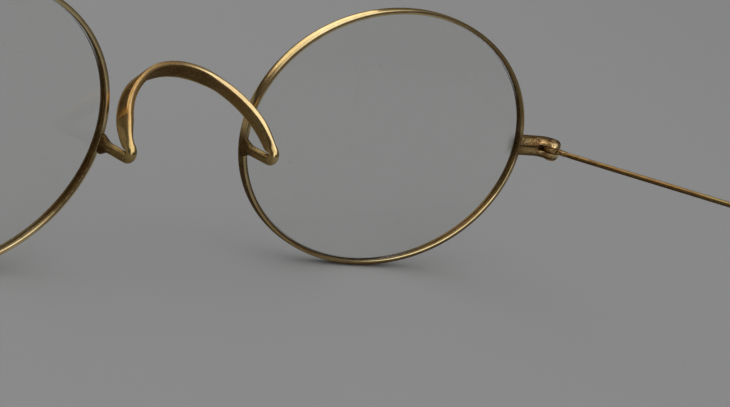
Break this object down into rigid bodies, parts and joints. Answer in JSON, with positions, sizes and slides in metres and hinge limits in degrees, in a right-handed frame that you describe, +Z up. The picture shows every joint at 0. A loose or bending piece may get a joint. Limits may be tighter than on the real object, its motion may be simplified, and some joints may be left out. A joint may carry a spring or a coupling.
{
  "type": "oval wire eyeglasses",
  "caption": "Oval wire-rim eyeglasses with a saddle bridge, split end pieces closed by hinge screws, and folding wire temples with ear hooks.",
  "frame": {"origin": "on the table, in the middle of the area that the open glasses cover", "axes": "+X to the wearer's left, +Y back along the temples, away from the front, +Z up from the table"},
  "size_m": [0.1624, 0.1132, 0.0337],
  "materials": {
    "gold_wire": "worn gold-filled wire, polished with brown tarnish",
    "gold_lug": "worn gold-filled end piece, speckled with tarnish",
    "screw_brass": "darkened brass",
    "lens_glass": "clear, slightly dusty"
  },
  "bodies": {
    "front": {"left_eyewire": "gold_wire", "right_eyewire": "gold_wire", "left_lens": "lens_glass", "right_lens": "lens_glass", "saddle_bridge": "gold_wire", "left_upper_lug": "gold_lug", "right_upper_lug": "gold_lug", "left_lower_lug": "gold_lug", "right_lower_lug": "gold_lug", "left_hinge_screw": "screw_brass", "right_hinge_screw": "screw_brass"},
    "left_temple": {"left_temple_knuckle": "gold_lug", "left_temple_shank": "gold_wire", "left_hook_sleeve": "gold_lug", "left_ear_hook": "gold_wire", "left_hook_ball": "gold_wire"},
    "right_temple": {"right_temple_knuckle": "gold_lug", "right_temple_shank": "gold_wire", "right_hook_sleeve": "gold_lug", "right_ear_hook": "gold_wire", "right_hook_ball": "gold_wire"}
  },
  "joints": [
    {"name": "left_temple_fold", "type": "hinge", "parent": "front", "child": "left_temple", "pos_m": [0.05154, -0.04683, 0.01579], "axis": [0, -0.1476, 0.989], "range_deg": [0, 98]},
    {"name": "right_temple_fold", "type": "hinge", "parent": "front", "child": "right_temple", "pos_m": [-0.05154, -0.04683, 0.01579], "axis": [0, 0.1476, -0.989], "range_deg": [0, 102]}
  ]
}
